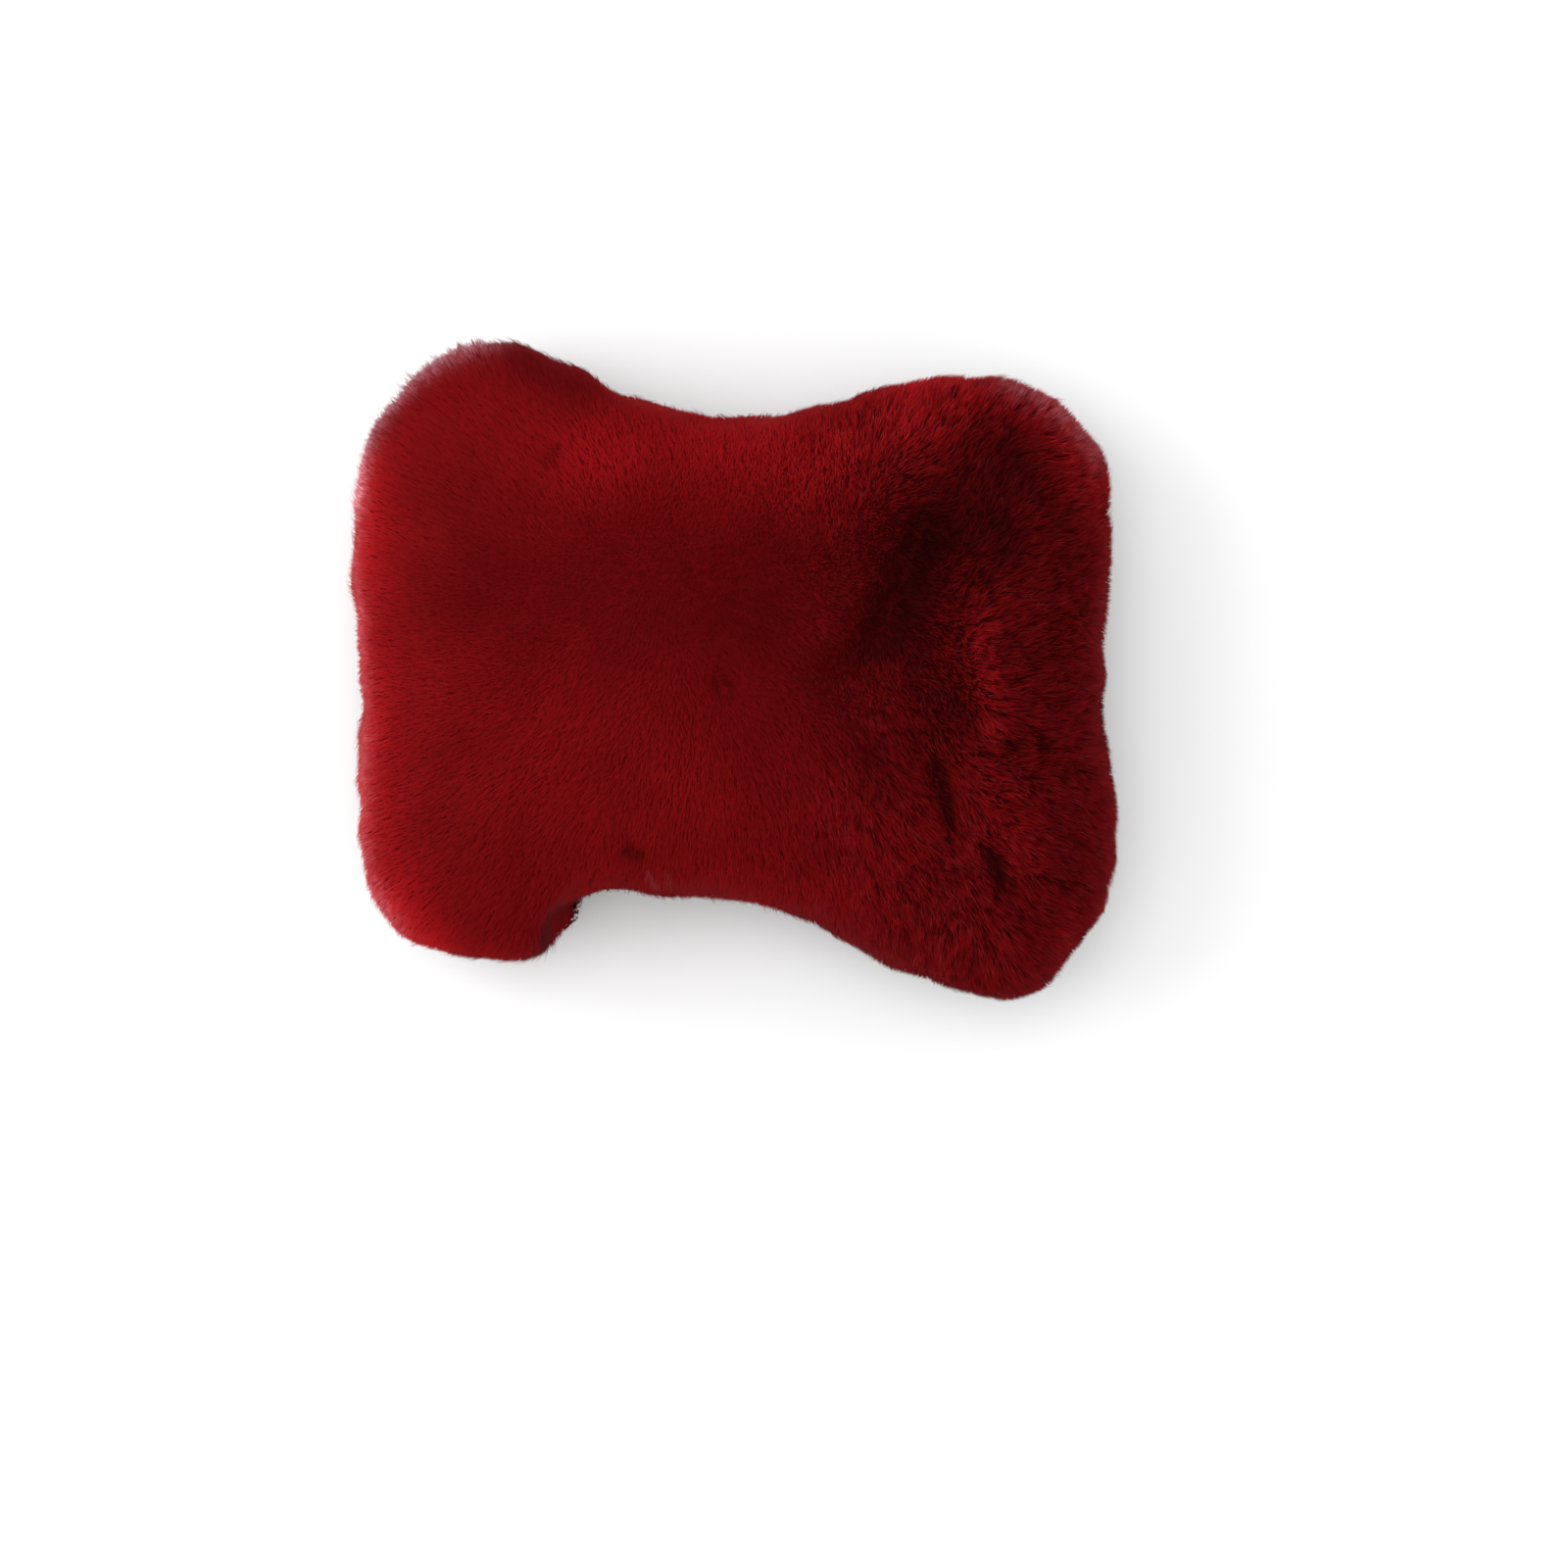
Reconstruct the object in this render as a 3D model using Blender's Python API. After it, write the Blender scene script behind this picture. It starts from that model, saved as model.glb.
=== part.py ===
"""Bone-shaped fur neck pillow for a car seat, lying on its back with the fur side up.

X runs along the pillow, from its left end to its right end as seen from the front.
Y runs up the front face. Z runs from the back panel, which lies on z = 0, to the fur.
The cover is a long-pile hide over the front and the sides, sewn all round to a cloth
back panel. It holds one stuffed cushion. An elastic strap lies across the back, with
both ends caught in the end seams, and slips over the posts of a head restraint.
"""
import math
from collections import namedtuple

import bmesh
import bpy
import numpy as np
from mathutils import Matrix, Vector, noise

OBJECT_NAME = "car_neck_pillow"

# Outline of the front face, pile included
HALF_WIDTH = 0.150
LOBE_HEIGHT = 0.243
LOBE_DROP = 0.0155          # the right-hand end sits this much lower than the left-hand end
WAIST_HEIGHT = 0.188
WAIST_RISE = 0.0045         # middle of the waist above the middle of the pillow
END_DIP = 0.0045            # shallow hollow half way up each end
WAIST_TOP_X = 0.000         # where the waist is narrowest, on the upper edge
WAIST_BOTTOM_X = -0.018     # and on the lower edge

# Heights above the flat of the back
THICKNESS = 0.100           # crown of the full front, before its tufts and the waist's sag
WAIST_SAG = 0.007           # the front is this much lower over the waist
WIDEST_LEVEL = 0.045
SEAM_LEVEL = 0.014          # where the hide is sewn to the back panel
HEM_LEVEL = 0.005           # how low the fur round the sides hangs past the seam
BACK_SPREAD = 0.0045        # how far the round back would sink below its flat

# How far in the section has come, as a share of its widest reach
SEAM_SHARE = 0.87
HEM_SHARE = 0.90

# Layers
PILE_LENGTH = 0.018         # hide and fur together, over the front
PILE_AT_ENDS = 0.016        # the same round the sides
CLOTH_THICKNESS = 0.0013
STRAP_WIDTH = 0.028
STRAP_THICKNESS = 0.0015
CHANNEL_SLOPE = 0.004       # width of each bank of the channel that the strap presses in
STRAP_LEVEL = 0.000         # height of the strap's middle on the back
FIT_GAP = 0.0003            # between pieces that touch
TOUCH = 0.00001             # points closer than this are the same point

# Fullness of the stuffed section: 2 is an ellipse, more is boxier
FRONT_FULLNESS = 2.6
SIDE_FULLNESS = 2.3         # under the widest level
BACK_FULLNESS = 2.8

# Pile relief
TUFT_SIZE = 0.019
TUFT_DEPTH = 0.0030
SWELL_SIZE = 0.065
SWELL_DEPTH = 0.0030
LOCK_PITCH = 0.017          # spacing of the locks that fan out over the rim
LOCK_DEPTH = 0.0019
LOCK_START = 0.45           # ring at which the locks begin, from 0 in the middle to 1 at the seam
LOCK_STRETCH = 1.6          # how much the locks change on their way down the side
LOCK_CHOICE = 3.7           # which run of the noise the locks follow
PARTING_FALL = 2.2          # how steeply a parting's depth falls off from its middle
PARTING_END = 1.5           # where a parting stops, in half widths
LEAST_LEAN = 0.8            # least share of a face's offset that a vertex's offset makes up for

# Mesh density
CELLS_ALONG = 20            # of the layers under the pile
CELLS_UP = 16
PILE_CELLS_ALONG = 64
PILE_CELLS_UP = 52
KEY_STEPS = 16              # points of the outline's curve from each key point to the next
OUTLINE_POINTS = 640
INSET_SPAN = 0.015          # length each way over which the inset's direction is evened out
SECTION_STEPS = 600

# One lobe of the outline, as distances in from the end and in from the lobe's crest
Lobe = namedtuple("Lobe", "bulge low corner high crest shoulder flank")
TOP_LEFT = Lobe(
    bulge=(0.0, 0.055), low=(0.0046, 0.0396), corner=(0.0154, 0.0215), high=(0.035, 0.0048),
    crest=0.0885, shoulder=(0.0652, 0.0092), flank=(0.040, 0.0080))
TOP_RIGHT = Lobe(
    bulge=(0.0023, 0.050), low=(0.0046, 0.0358), corner=(0.016, 0.0172), high=(0.033, 0.0043),
    crest=0.0930, shoulder=(0.0640, 0.0028), flank=(0.040, 0.0055))
BOTTOM_RIGHT = Lobe(
    bulge=(0.0004, 0.061), low=(0.0031, 0.0410), corner=(0.0135, 0.0180), high=(0.0285, 0.0032),
    crest=0.1060, shoulder=(0.0680, 0.0120), flank=(0.028, 0.0085))
BOTTOM_LEFT = Lobe(
    bulge=(0.0012, 0.052), low=(0.0050, 0.0338), corner=(0.0154, 0.0135), high=(0.031, 0.0042),
    crest=0.0930, shoulder=(0.0755, 0.0032), flank=(0.0665, 0.0042))

# Partings in the fur: points on the front, depth and half width
Parting = namedtuple("Parting", "route depth reach")
PARTINGS = (
    Parting(((0.093, 0.088), (0.074, 0.047), (0.043, -0.007)), 0.0042, 0.0125),
    Parting(((0.073, -0.029), (0.085, -0.064)), 0.0042, 0.0095),
    Parting(((0.097, -0.064), (0.105, -0.086)), 0.0040, 0.0090),
    Parting(((0.104, -0.028), (0.116, -0.029)), 0.0036, 0.0090),
)
RIDGE = Parting(((0.094, 0.018), (0.098, -0.020)), -0.0028, 0.0100)
DIMPLES = (
    Parting(((-0.069, 0.078), (-0.068, 0.080)), 0.0028, 0.0105),
    Parting(((-0.094, 0.022), (-0.093, 0.020)), 0.0026, 0.0110),
    Parting(((-0.006, -0.005), (-0.003, -0.008)), 0.0030, 0.0105),
    Parting(((-0.038, -0.066), (-0.037, -0.076)), 0.0034, 0.0095),
)
HOLLOW = Parting(((0.090, 0.070), (0.086, 0.030)), 0.0038, 0.0300)

# Colours in linear light
FUR_COLOUR = (0.150, 0.0035, 0.0045)
CLOTH_COLOUR = (0.055, 0.0045, 0.0060)
STRAP_COLOUR = (0.010, 0.010, 0.011)
FILLING_COLOUR = (0.780, 0.765, 0.730)


def clear_scene():
    for item in list(bpy.data.objects):
        bpy.data.objects.remove(item, do_unlink=True)


def new_collection(name):
    collection = bpy.data.collections.new(name)
    bpy.context.scene.collection.children.link(collection)
    return collection


def new_material(name, colour, roughness):
    material = bpy.data.materials.new(name)
    material.use_nodes = True
    shader = material.node_tree.nodes["Principled BSDF"]
    shader.inputs["Base Color"].default_value = (*colour, 1.0)
    shader.inputs["Roughness"].default_value = roughness
    shader.inputs["Metallic"].default_value = 0.0
    material.diffuse_color = (*colour, 1.0)
    return material


def mesh_object(name, bm, collection, material):
    """Turn a finished bmesh into a named object with outward faces."""
    bmesh.ops.recalc_face_normals(bm, faces=bm.faces)
    mesh = bpy.data.meshes.new(name)
    bm.to_mesh(mesh)
    bm.free()
    mesh.materials.append(material)
    mesh.shade_smooth()
    item = bpy.data.objects.new(name, mesh)
    collection.objects.link(item)
    return item


def crest_level(side, up):
    """Height of a lobe's crest above the middle of the pillow."""
    return up * LOBE_HEIGHT / 2 - side * LOBE_DROP / 2


def corner_point(lobe, side, up):
    """Middle of the round corner of a lobe."""
    return side * (HALF_WIDTH - lobe.corner[0]), crest_level(side, up) - up * lobe.corner[1]


def lobe_points(lobe, side, up):
    """Outline points of one lobe, from the end of the pillow towards its waist."""
    crest_y = crest_level(side, up)
    waist_y = WAIST_RISE + up * WAIST_HEIGHT / 2
    return [
        (side * (HALF_WIDTH - lobe.bulge[0]), up * lobe.bulge[1]),
        (side * (HALF_WIDTH - lobe.low[0]), crest_y - up * lobe.low[1]),
        corner_point(lobe, side, up),
        (side * (HALF_WIDTH - lobe.high[0]), crest_y - up * lobe.high[1]),
        (side * lobe.crest, crest_y),
        (side * lobe.shoulder[0], crest_y - up * lobe.shoulder[1]),
        (side * lobe.flank[0], waist_y + up * lobe.flank[1]),
    ]


def outline_points():
    """The closed outline clockwise, and the places of its four corners in the list."""
    waist_top = (WAIST_TOP_X, WAIST_RISE + WAIST_HEIGHT / 2)
    waist_bottom = (WAIST_BOTTOM_X, WAIST_RISE - WAIST_HEIGHT / 2)
    left_dip = (-HALF_WIDTH + END_DIP, LOBE_DROP / 2)
    right_dip = (HALF_WIDTH - END_DIP - TOP_RIGHT.bulge[0] / 2, -LOBE_DROP / 2)
    runs = [
        lobe_points(TOP_LEFT, -1, 1), [waist_top], lobe_points(TOP_RIGHT, 1, 1)[::-1],
        [right_dip], lobe_points(BOTTOM_RIGHT, 1, -1), [waist_bottom],
        lobe_points(BOTTOM_LEFT, -1, -1)[::-1], [left_dip],
    ]
    points = [point for run in runs for point in run]
    lobes = ((TOP_LEFT, -1, 1), (TOP_RIGHT, 1, 1), (BOTTOM_RIGHT, 1, -1), (BOTTOM_LEFT, -1, -1))
    return points, [points.index(corner_point(*lobe)) for lobe in lobes]


class Outline:
    """The outline as a smooth closed curve, with its corners at the whole numbers 0 to 3."""

    def __init__(self):
        keys, corners = outline_points()
        curve = bpy.data.curves.new("outline_curve", "CURVE")
        spline = curve.splines.new("BEZIER")
        spline.bezier_points.add(len(keys) - 1)
        for knot, (x, y) in zip(spline.bezier_points, keys):
            knot.co = (x, y, 0.0)
            knot.handle_left_type = knot.handle_right_type = "AUTO"
        spline.use_cyclic_u = True
        spline.resolution_u = KEY_STEPS
        holder = bpy.data.objects.new("outline_curve", curve)
        bpy.context.scene.collection.objects.link(holder)
        graph = bpy.context.evaluated_depsgraph_get()
        mesh = bpy.data.meshes.new_from_object(holder.evaluated_get(graph))
        path = np.array([vertex.co[:2] for vertex in mesh.vertices])
        bpy.data.objects.remove(holder)
        bpy.data.curves.remove(curve)
        bpy.data.meshes.remove(mesh)
        path = np.roll(path, -corners[0] * KEY_STEPS, axis=0)
        path = np.vstack([path, path[:1]])
        marks = [(corner - corners[0]) * KEY_STEPS for corner in corners] + [len(path) - 1]
        length = np.concatenate([[0.0], np.cumsum(np.linalg.norm(np.diff(path, axis=0), axis=1))])
        self.girth = length[-1]
        even = np.linspace(0.0, self.girth, OUTLINE_POINTS + 1)
        self.turn = np.interp(even, length[marks], np.arange(len(marks)))
        self.ring = np.column_stack([np.interp(even, length, path[:, i]) for i in (0, 1)])
        span = max(1, round(INSET_SPAN / self.girth * OUTLINE_POINTS))
        loop = self.ring[:-1]
        run = np.roll(loop, -span, axis=0) - np.roll(loop, span, axis=0)
        run /= 2 * span * self.girth / OUTLINE_POINTS
        outward = np.column_stack([-run[:, 1], run[:, 0]])
        self.outward = np.vstack([outward, outward[:1]])

    def place(self, turn, inset):
        """Point of the outline at a turn from 0 to 4, moved inwards by the inset."""
        x, y = (np.interp(turn, self.turn, self.ring[:, i]) for i in (0, 1))
        nx, ny = (np.interp(turn, self.turn, self.outward[:, i]) for i in (0, 1))
        return Vector((x - inset * nx, y - inset * ny))


class Section:
    """The stuffed section from the middle of a face to its edge, at even steps of length."""

    def __init__(self, rise, fullness, overhang=0.0, end_reach=1.0):
        reach = (HALF_WIDTH + WAIST_HEIGHT / 2) / 2
        angle = np.linspace(0.0, math.pi / 2, SECTION_STEPS)
        out = np.sin(angle) ** (2 / fullness)
        up = rise * np.cos(angle) ** (2 / fullness)
        if overhang > 0.0:
            lowest = (1 - end_reach ** SIDE_FULLNESS) ** (1 / SIDE_FULLNESS)
            below = math.asin(lowest ** (SIDE_FULLNESS / 2))
            angle = np.linspace(0.0, below, SECTION_STEPS)[1:]
            out = np.concatenate([out, np.cos(angle) ** (2 / SIDE_FULLNESS)])
            low = np.sin(angle) ** (2 / SIDE_FULLNESS)
            up = np.concatenate([up, -overhang * low / lowest])
        step = np.hypot(np.diff(out) * reach, np.diff(up))
        length = np.concatenate([[0.0], np.cumsum(step)])
        self.ring = length / length[-1]
        self.widest = self.ring[SECTION_STEPS - 1]
        self.out = out
        self.share = up / rise

    def place(self, ring):
        """Share of the outline's reach, and share of the rise above the widest level."""
        return np.interp(ring, self.ring, self.out), np.interp(ring, self.ring, self.share)


def ring_and_turn(a, b):
    """Ring from 0 to 1 and turn from 0 to 4 of a point of the square from -1 to 1."""
    ring = max(abs(a), abs(b))
    if ring == 0.0:
        return 0.0, 0.5
    a, b = a / ring, b / ring
    if b == 1.0:
        turn = (1 + a) / 2
    elif a == 1.0:
        turn = 1 + (1 - b) / 2
    elif b == -1.0:
        turn = 2 + (1 - a) / 2
    else:
        turn = 3 + (1 + b) / 2
    return ring, turn


def plan_place(outline, section, ring, turn, out, inset):
    """Plan position: oval rings in the middle that grow into the outline by the widest level."""
    angle = math.radians(135 - 90 * turn)
    oval = Vector(((HALF_WIDTH - inset) * math.cos(angle), (WAIST_HEIGHT / 2 - inset) * math.sin(angle)))
    edge = outline.place(turn, inset)
    share = min(ring / section.widest, 1.0)
    blend = share * share * (3 - 2 * share)
    return oval.lerp(edge, blend) * out


def waist_sag(x):
    """How far the front sags at this distance from the middle of the waist."""
    share = min(abs(x) / HALF_WIDTH, 1.0)
    return WAIST_SAG * math.cos(share * math.pi / 2) ** 2


def face_grid(bm, columns, rows):
    return bmesh.ops.create_grid(bm, x_segments=columns, y_segments=rows, size=1.0)["verts"]


def place_front(outline, section, vertices, inset, top, edge_level):
    """Lay a square grid over the front and round the sides, down to its edge."""
    for vertex in vertices:
        ring, turn = ring_and_turn(round(vertex.co.x, 6), round(vertex.co.y, 6))
        out, share = section.place(ring)
        plan = plan_place(outline, section, ring, turn, out, inset)
        rise = top - WIDEST_LEVEL
        level = WIDEST_LEVEL + share * (rise - (waist_sag(plan.x) if share > 0.0 else 0.0))
        vertex.co = (plan.x, plan.y, edge_level if ring == 1.0 else level)


def place_back(outline, section, vertices, inset, flat):
    """Lay a square grid over the back, flat where the pillow rests on it."""
    for vertex in vertices:
        ring, turn = ring_and_turn(round(vertex.co.x, 6), round(vertex.co.y, 6))
        out, share = section.place(ring)
        plan = plan_place(outline, section, ring, turn, out * SEAM_SHARE, inset)
        level = SEAM_LEVEL - share * (SEAM_LEVEL - flat + BACK_SPREAD)
        vertex.co = (plan.x, plan.y, SEAM_LEVEL if ring == 1.0 else max(level, flat))


def strap_edges(margin):
    """The lower and upper edge of the strap on the back, moved out by a margin."""
    half = STRAP_WIDTH / 2 + margin
    return STRAP_LEVEL - half, STRAP_LEVEL + half


def cut_across(bm, level, faces):
    """Cut faces along a level line that runs the length of the pillow."""
    edges = {edge for face in faces for edge in face.edges}
    corners = {vertex for face in faces for vertex in face.verts}
    bmesh.ops.bisect_plane(
        bm, geom=[*corners, *edges, *faces], dist=TOUCH,
        plane_co=(0.0, level, 0.0), plane_no=(0.0, 1.0, 0.0))


def cushion_cage(outline, front_section, back_section):
    """The stuffed cushion's skin, cut along the banks of the channel, in triangles."""
    inset = PILE_AT_ENDS + FIT_GAP
    levels = [*strap_edges(FIT_GAP), *strap_edges(FIT_GAP + CHANNEL_SLOPE)]
    bm = bmesh.new()
    front = face_grid(bm, CELLS_ALONG, CELLS_UP)
    place_front(outline, front_section, front, inset, THICKNESS - PILE_LENGTH - FIT_GAP, SEAM_LEVEL)
    back = face_grid(bm, CELLS_ALONG, CELLS_UP)
    place_back(outline, back_section, back, inset, CLOTH_THICKNESS + FIT_GAP)
    bmesh.ops.remove_doubles(bm, verts=bm.verts, dist=TOUCH)
    for vertex in bm.verts:
        nearest = min(levels, key=lambda level: abs(level - vertex.co.y))
        if vertex.co.z < SEAM_LEVEL + TOUCH and abs(nearest - vertex.co.y) < CHANNEL_SLOPE / 2:
            vertex.co.y = nearest
    for level in levels:
        cut_across(bm, level, [face for face in bm.faces if on_back(face)])
    bmesh.ops.triangulate(bm, faces=bm.faces)
    bmesh.ops.recalc_face_normals(bm, faces=bm.faces)
    return bm


def on_seam(vertex):
    return abs(vertex.co.z - SEAM_LEVEL) < TOUCH


def on_back(face):
    return face.calc_center_median().z < SEAM_LEVEL - TOUCH


def offset_directions(bm):
    """Outward direction at each vertex, scaled so that layers keep their thickness."""
    bm.normal_update()
    flat = min(vertex.co.z for vertex in bm.verts)
    directions = []
    for vertex in bm.verts:
        normal = vertex.normal.copy()
        if on_seam(vertex):
            normal.z = 0.0
            normal.normalize()
        elif vertex.co.z < flat + TOUCH:
            normal = Vector((0.0, 0.0, -1.0))
        else:
            lean = min(normal.dot(face.normal) for face in vertex.link_faces)
            normal /= max(lean, LEAST_LEAN)
        directions.append(normal)
    return directions


def press_channel(bm, directions):
    """Let the cushion and the back give way under the strap."""
    low, high = strap_edges(FIT_GAP + TOUCH)
    for vertex, direction in zip(bm.verts, directions):
        behind = vertex.co.z <= SEAM_LEVEL + TOUCH
        if behind and low <= vertex.co.y <= high:
            vertex.co -= direction * (STRAP_THICKNESS + FIT_GAP)


def layer_shell(bm, directions, faces, inner, outer, rim_level):
    """Keep some faces of the cage and turn them into a closed layer between two offsets."""
    for vertex, direction in zip(bm.verts, directions):
        vertex.co += direction * inner
    offsets = {vertex: direction * (outer - inner) for vertex, direction in zip(bm.verts, directions)}
    bmesh.ops.delete(bm, geom=[face for face in bm.faces if face not in faces], context="FACES")
    for vertex in bm.verts:
        if on_seam(vertex):
            vertex.co.z = rim_level
    inner_faces = list(bm.faces)
    copies = bmesh.ops.duplicate(bm, geom=bm.verts[:] + bm.edges[:] + inner_faces)
    for old, new in copies["vert_map"].items():
        if old in offsets and new not in offsets:
            new.co += offsets[old]
    bmesh.ops.reverse_faces(bm, faces=inner_faces)
    open_edges = [edge for edge in bm.edges if edge.is_boundary]
    bmesh.ops.bridge_loops(bm, edges=open_edges)
    return bm


def parting_depth(parting, place):
    """How deep a parting is at a plan position: a smooth groove round its route."""
    nearest = min(
        distance_to_run(place, Vector(start), Vector(end))
        for start, end in zip(parting.route, parting.route[1:]))
    share = min(nearest / parting.reach, PARTING_END)
    if share == PARTING_END:
        return 0.0
    return parting.depth * math.exp(-PARTING_FALL * share * share)


def distance_to_run(place, start, end):
    run = end - start
    share = max(0.0, min(1.0, (place - start).dot(run) / run.length_squared))
    return (place - start - run * share).length


def pile_relief(point, ring, turn, girth):
    """Height of the pile over its even surface: swells, tufts, locks, partings, dimples."""
    swell = noise.noise(point / SWELL_SIZE) * SWELL_DEPTH
    near = noise.voronoi(point / TUFT_SIZE)[0]
    tuft = (0.35 - near[0] * near[0]) * TUFT_DEPTH
    rim = max(0.0, (ring - LOCK_START) / (1 - LOCK_START))
    lock_place = Vector((turn / 4 * girth / LOCK_PITCH, rim * LOCK_STRETCH, LOCK_CHOICE))
    lock = noise.noise(lock_place) * 2 * LOCK_DEPTH * rim
    height = swell + tuft * (1 - 0.5 * rim) + lock
    if point.z > WIDEST_LEVEL:
        place = Vector((point.x, point.y))
        grooves = (*PARTINGS, RIDGE, *DIMPLES, HOLLOW)
        height -= sum(parting_depth(groove, place) for groove in grooves)
    return height


def build_filling(cage, directions, collection):
    bm = cage.copy()
    press_channel(bm, directions)
    material = new_material("stuffing", FILLING_COLOUR, 0.95)
    return mesh_object("filling", bm, collection, material)


def build_back_panel(cage, directions, collection):
    bm = cage.copy()
    press_channel(bm, directions)
    faces = {face for face, source in zip(bm.faces, cage.faces) if on_back(source)}
    rim = SEAM_LEVEL - FIT_GAP / 2
    layer_shell(bm, directions, faces, FIT_GAP, FIT_GAP + CLOTH_THICKNESS, rim)
    material = new_material("back_cloth", CLOTH_COLOUR, 0.85)
    return mesh_object("back_panel", bm, collection, material)


def build_strap(cage, collection):
    bm = cage.copy()
    low, high = strap_edges(0.0)
    for level in (low, high):
        cut_across(bm, level, [face for face in bm.faces if on_back(face)])
    bmesh.ops.triangulate(bm, faces=bm.faces)
    directions = offset_directions(bm)
    faces = {face for face in bm.faces if on_back(face) and low < face.calc_center_median().y < high}
    outer = FIT_GAP + CLOTH_THICKNESS
    rim = SEAM_LEVEL - FIT_GAP / 2
    layer_shell(bm, directions, faces, outer - STRAP_THICKNESS, outer, rim)
    material = new_material("elastic_webbing", STRAP_COLOUR, 0.8)
    return mesh_object("elastic_strap", bm, collection, material)


def hide_inside(cage, directions):
    """The side of the hide that faces the cushion, with the ledge of its cut edge."""
    bm = cage.copy()
    back = [face for face, source in zip(bm.faces, cage.faces) if on_back(source)]
    outward = dict(zip(bm.verts, directions))
    for vertex, direction in outward.items():
        vertex.co += direction * FIT_GAP
    bmesh.ops.delete(bm, geom=back, context="FACES")
    border = [edge for edge in bm.edges if edge.is_boundary]
    rim = {vertex for edge in border for vertex in edge.verts}
    for vertex in rim:
        vertex.co.z = SEAM_LEVEL + FIT_GAP / 2
    ledge = bmesh.ops.extrude_edge_only(bm, edges=border)["geom"]
    for vertex in (item for item in ledge if isinstance(item, bmesh.types.BMVert)):
        source = next(other for edge in vertex.link_edges for other in edge.verts if other in rim)
        vertex.co += outward[source] * (CLOTH_THICKNESS + FIT_GAP)
    return bm


def build_front_panel(outline, section, cage, directions, collection):
    """The hide as a shell: relief of the pile outside, the stuffed cushion's form inside."""
    pile = bmesh.new()
    vertices = face_grid(pile, PILE_CELLS_ALONG, PILE_CELLS_UP)
    places = [ring_and_turn(round(v.co.x, 6), round(v.co.y, 6)) for v in vertices]
    place_front(outline, section, vertices, 0.0, THICKNESS, HEM_LEVEL)
    pile.normal_update()
    normals = [vertex.normal.copy() for vertex in vertices]
    heights = [pile_relief(v.co, *place, outline.girth) for v, place in zip(vertices, places)]
    for vertex, normal, height in zip(vertices, normals, heights):
        vertex.co += normal * height
        if vertex.is_boundary:
            vertex.co.z = HEM_LEVEL
    bmesh.ops.triangulate(pile, faces=pile.faces, quad_method="SHORT_EDGE")
    inside = hide_inside(cage, directions)
    holder = bpy.data.meshes.new("hide_inside")
    inside.to_mesh(holder)
    inside.free()
    pile.from_mesh(holder)
    bpy.data.meshes.remove(holder)
    border = [edge for edge in pile.edges if edge.is_boundary]
    bmesh.ops.triangle_fill(pile, use_beauty=True, edges=border, normal=(0.0, 0.0, -1.0))
    material = new_material("fur", FUR_COLOUR, 0.95)
    return mesh_object("front_fur_panel", pile, collection, material)


def centre_on_origin(pieces):
    """Slide the whole pillow along the floor until its box is centred on the origin."""
    points = np.array([vertex.co[:2] for piece in pieces for vertex in piece.data.vertices])
    x, y = (points.min(axis=0) + points.max(axis=0)) / 2
    for piece in pieces:
        piece.data.transform(Matrix.Translation((-x, -y, 0.0)))


def build():
    clear_scene()
    collection = new_collection(OBJECT_NAME)
    outline = Outline()
    pile_rise = THICKNESS - WIDEST_LEVEL
    hide_rise = pile_rise - PILE_LENGTH - FIT_GAP
    pile_section = Section(pile_rise, FRONT_FULLNESS, WIDEST_LEVEL - HEM_LEVEL, HEM_SHARE)
    hide_section = Section(hide_rise, FRONT_FULLNESS, WIDEST_LEVEL - SEAM_LEVEL, SEAM_SHARE)
    back_section = Section(SEAM_LEVEL, BACK_FULLNESS)
    cage = cushion_cage(outline, hide_section, back_section)
    directions = offset_directions(cage)
    pieces = [
        build_filling(cage, directions, collection),
        build_front_panel(outline, pile_section, cage, directions, collection),
        build_back_panel(cage, directions, collection),
        build_strap(cage, collection),
    ]
    cage.free()
    centre_on_origin(pieces)


build()
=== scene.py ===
"""Looks of the bone-shaped fur neck pillow: its pile, hide, back cloth, strap and wadding."""
import math
from collections import namedtuple

import bmesh
import bpy
import numpy as np
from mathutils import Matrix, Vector, noise
from mathutils.kdtree import KDTree


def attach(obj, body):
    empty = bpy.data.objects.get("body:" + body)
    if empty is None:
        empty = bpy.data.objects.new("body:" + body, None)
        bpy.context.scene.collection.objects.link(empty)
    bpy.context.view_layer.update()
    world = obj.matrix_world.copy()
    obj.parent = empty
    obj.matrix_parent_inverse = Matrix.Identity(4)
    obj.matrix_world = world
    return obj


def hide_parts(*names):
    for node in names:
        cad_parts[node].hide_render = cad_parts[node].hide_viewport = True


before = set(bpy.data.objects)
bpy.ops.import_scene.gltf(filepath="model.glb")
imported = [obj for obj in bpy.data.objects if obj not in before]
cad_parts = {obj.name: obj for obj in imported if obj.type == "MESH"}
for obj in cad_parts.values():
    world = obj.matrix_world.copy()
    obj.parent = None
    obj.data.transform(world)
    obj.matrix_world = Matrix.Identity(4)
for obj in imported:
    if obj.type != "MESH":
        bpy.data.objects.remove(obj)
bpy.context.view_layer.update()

# The photograph's frame: how wide the pillow is in it, and where its middle lies
FRAME_SIZE = 1600
PILLOW_PIXELS = 778
PILLOW_MIDDLE = (749.0, 682.5)
PILLOW_WIDTH = 0.300
METRES_PER_PIXEL = PILLOW_WIDTH / PILLOW_PIXELS
CAMERA_HEIGHT = 1.60
OUTLINE_LEVEL = 0.045       # height of the pillow's widest level, which the outline shows
FRONT_FADE = 0.030          # how far below it the front's colouring fades out
FRINGE_BAND = 0.011         # how far above and below it the light fringe fades out
SENSOR = 36.0

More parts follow.
